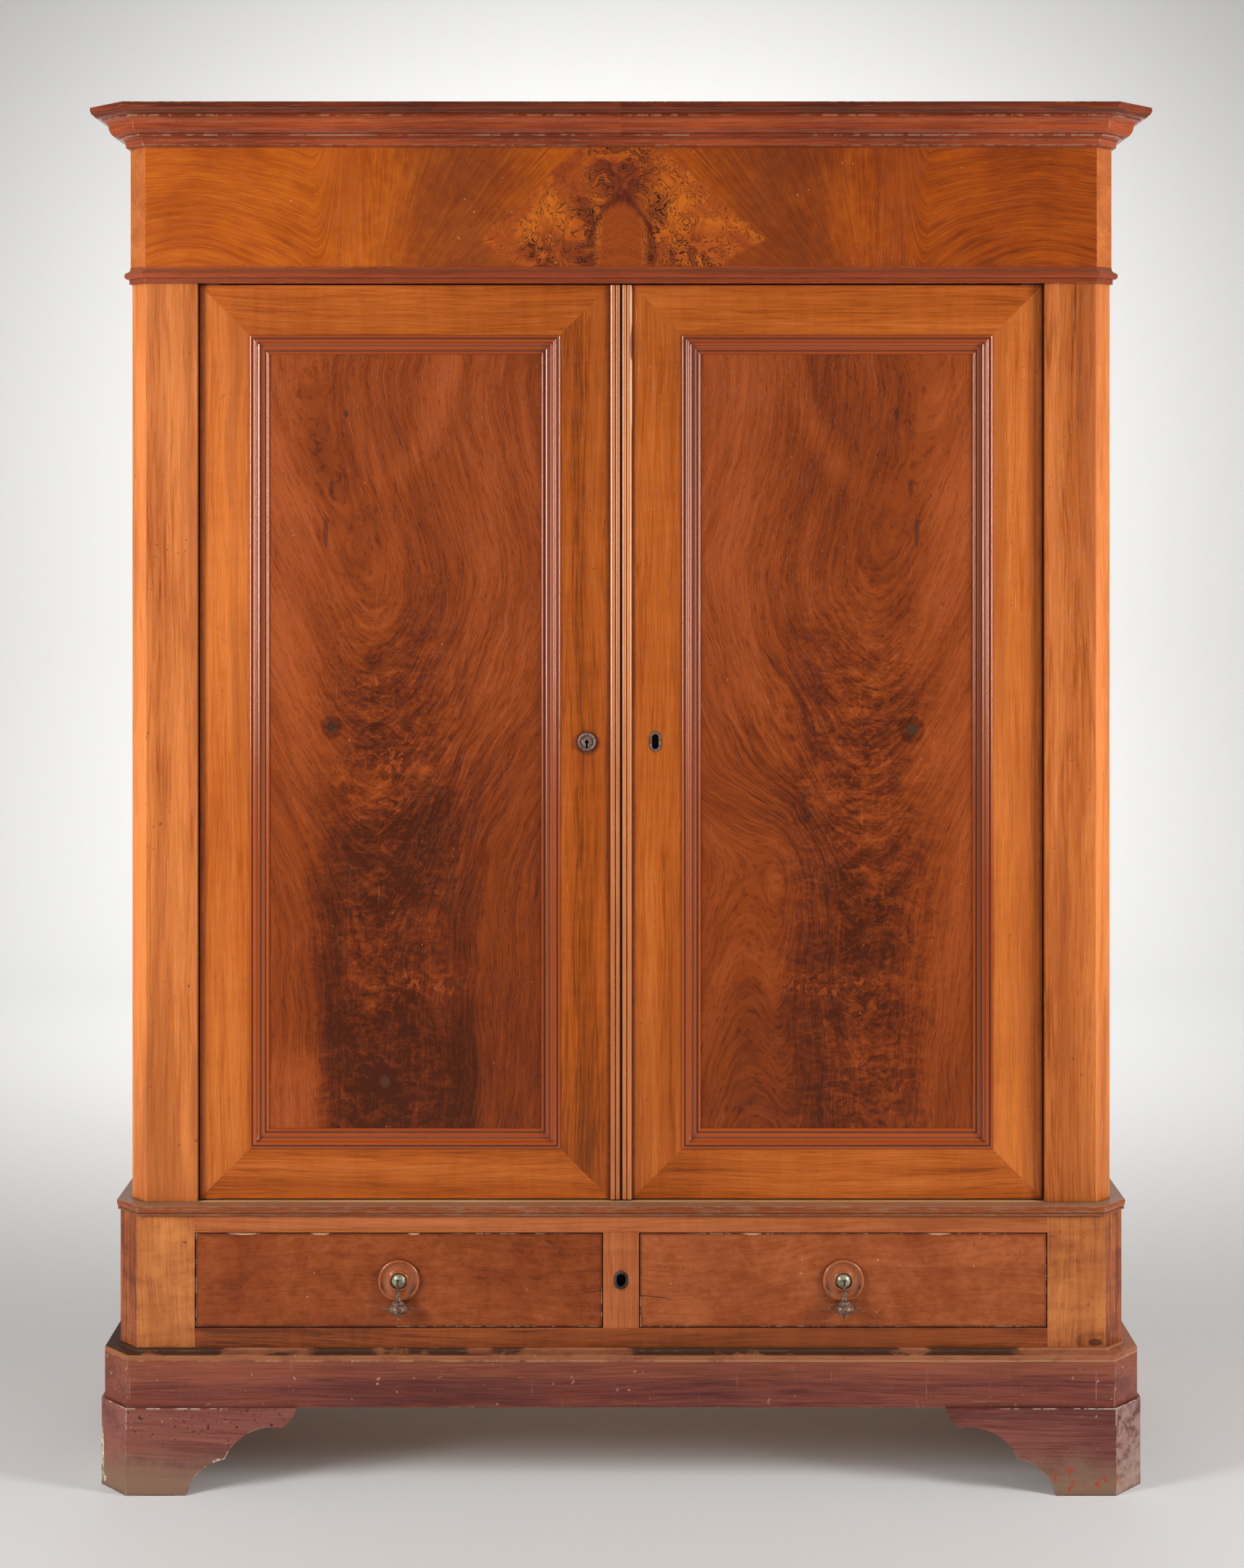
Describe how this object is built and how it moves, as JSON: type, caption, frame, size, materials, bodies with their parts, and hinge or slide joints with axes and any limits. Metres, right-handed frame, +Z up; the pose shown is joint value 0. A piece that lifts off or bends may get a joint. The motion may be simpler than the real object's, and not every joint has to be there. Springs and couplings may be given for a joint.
{
  "type": "wardrobe",
  "caption": "Tall wooden wardrobe with slanted front corners, panelled hinged doors over a drawer section, moulded cornice and bracket feet.",
  "frame": {"origin": "on the floor, under the middle of the overall width and depth", "axes": "+X to the right and +Y to the back, seen from the front; +Z up"},
  "size_m": [1.5442, 0.6022, 2],
  "materials": {
    "walnut_case": "French-polished straight walnut, honey brown",
    "walnut_doors": "French-polished straight walnut, orange brown",
    "walnut_flame": "French-polished crotch veneer, red brown",
    "walnut_burl": "French-polished burl veneer, golden with dark clouds",
    "walnut_drawers": "French-polished mottled veneer, red brown",
    "walnut_mouldings": "French-polished mouldings, red brown",
    "walnut_plinth": "worn polished veneer, purple brown",
    "walnut_feet": "worn and dusty polished veneer, dark brown",
    "turned_walnut": "polished turned wood",
    "pine": "bare planed softwood, aged",
    "brass": "aged brass with green patina",
    "iron": "forged iron, dark"
  },
  "bodies": {
    "carcass": {"front_foot_left": "walnut_feet", "front_foot_right": "walnut_feet", "rear_feet": "pine", "plinth": "walnut_plinth", "base_posts": "walnut_case", "base_sides": "walnut_case", "base_back": "pine", "drawer_rails": "walnut_case", "drawer_muntin": "walnut_case", "dust_board": "pine", "drawer_runners": "pine", "drawer_lock": "iron", "waist_moulding": "walnut_mouldings", "deck_board": "pine", "pilaster_left": "walnut_case", "pilaster_right": "walnut_case", "side_frames": "walnut_case", "side_panels": "walnut_flame", "back_boards": "pine", "roof_board": "pine", "frieze_front": "walnut_burl", "frieze_returns": "walnut_burl", "frieze_moulding": "walnut_mouldings", "cornice": "walnut_mouldings", "hat_shelf": "pine", "clothes_pole": "pine", "door_stops": "pine", "pivot_pins": "iron"},
    "door_left": {"door_left_stiles": "walnut_doors", "door_left_rails": "walnut_doors", "door_left_panel": "walnut_flame", "door_left_moulding": "walnut_mouldings", "door_left_astragal": "walnut_mouldings", "door_left_bushes": "iron", "door_left_escutcheon": "brass", "door_left_lock": "iron"},
    "door_right": {"door_right_stiles": "walnut_doors", "door_right_rails": "walnut_doors", "door_right_panel": "walnut_flame", "door_right_moulding": "walnut_mouldings", "door_right_astragal": "walnut_mouldings", "door_right_bushes": "iron", "door_right_escutcheon": "brass", "door_right_lock": "iron"},
    "door_left_top_rod": {"door_left_top_rod": "iron"},
    "door_left_low_rod": {"door_left_low_rod": "iron"},
    "door_right_bolt": {"door_right_bolt": "iron"},
    "drawer_bolt_left": {"drawer_bolt_left": "iron"},
    "drawer_bolt_right": {"drawer_bolt_right": "iron"},
    "drawer_left": {"drawer_left_front": "walnut_drawers", "drawer_left_box": "pine", "drawer_left_rosette": "turned_walnut", "drawer_left_knob": "brass"},
    "pull_left": {"pull_left": "brass"},
    "drawer_right": {"drawer_right_front": "walnut_drawers", "drawer_right_box": "pine", "drawer_right_rosette": "turned_walnut", "drawer_right_knob": "brass"},
    "pull_right": {"pull_right": "brass"}
  },
  "joints": [
    {"name": "door_left_hinge", "type": "hinge", "parent": "carcass", "child": "door_left", "pos_m": [-0.603, -0.22695, 0.41], "axis": [0, 0, -1], "range_deg": [0, 100]},
    {"name": "door_right_hinge", "type": "hinge", "parent": "carcass", "child": "door_right", "pos_m": [0.603, -0.22695, 0.41], "axis": [0, 0, 1], "range_deg": [0, 100]},
    {"name": "drawer_left_slide", "type": "slide", "parent": "carcass", "child": "drawer_left", "axis": [0, -1, 0], "range_m": [0, 0.4]},
    {"name": "drawer_right_slide", "type": "slide", "parent": "carcass", "child": "drawer_right", "axis": [0, -1, 0], "range_m": [0, 0.4]},
    {"name": "pull_left_swing", "type": "hinge", "parent": "drawer_left", "child": "pull_left", "pos_m": [-0.3215, -0.27495, 0.3015], "axis": [-1, 0, 0], "range_deg": [0, 80]},
    {"name": "pull_right_swing", "type": "hinge", "parent": "drawer_right", "child": "pull_right", "pos_m": [0.3215, -0.27495, 0.3015], "axis": [-1, 0, 0], "range_deg": [0, 80]},
    {"name": "top_rod_slide", "type": "slide", "parent": "door_left", "child": "door_left_top_rod", "axis": [0, 0, 1], "range_m": [0, 0.012]},
    {"name": "low_rod_slide", "type": "slide", "parent": "door_left", "child": "door_left_low_rod", "axis": [0, 0, -1], "range_m": [0, 0.012]},
    {"name": "door_right_bolt_slide", "type": "slide", "parent": "door_right", "child": "door_right_bolt", "axis": [-1, 0, 0], "range_m": [0, 0.011]},
    {"name": "drawer_bolt_left_slide", "type": "slide", "parent": "carcass", "child": "drawer_bolt_left", "axis": [-1, 0, 0], "range_m": [0, 0.009]},
    {"name": "drawer_bolt_right_slide", "type": "slide", "parent": "carcass", "child": "drawer_bolt_right", "axis": [1, 0, 0], "range_m": [0, 0.009]}
  ],
  "couplings": [
    {"joint": "low_rod_slide", "follows": "top_rod_slide", "ratio": 1},
    {"joint": "drawer_bolt_right_slide", "follows": "drawer_bolt_left_slide", "ratio": 1}
  ]
}
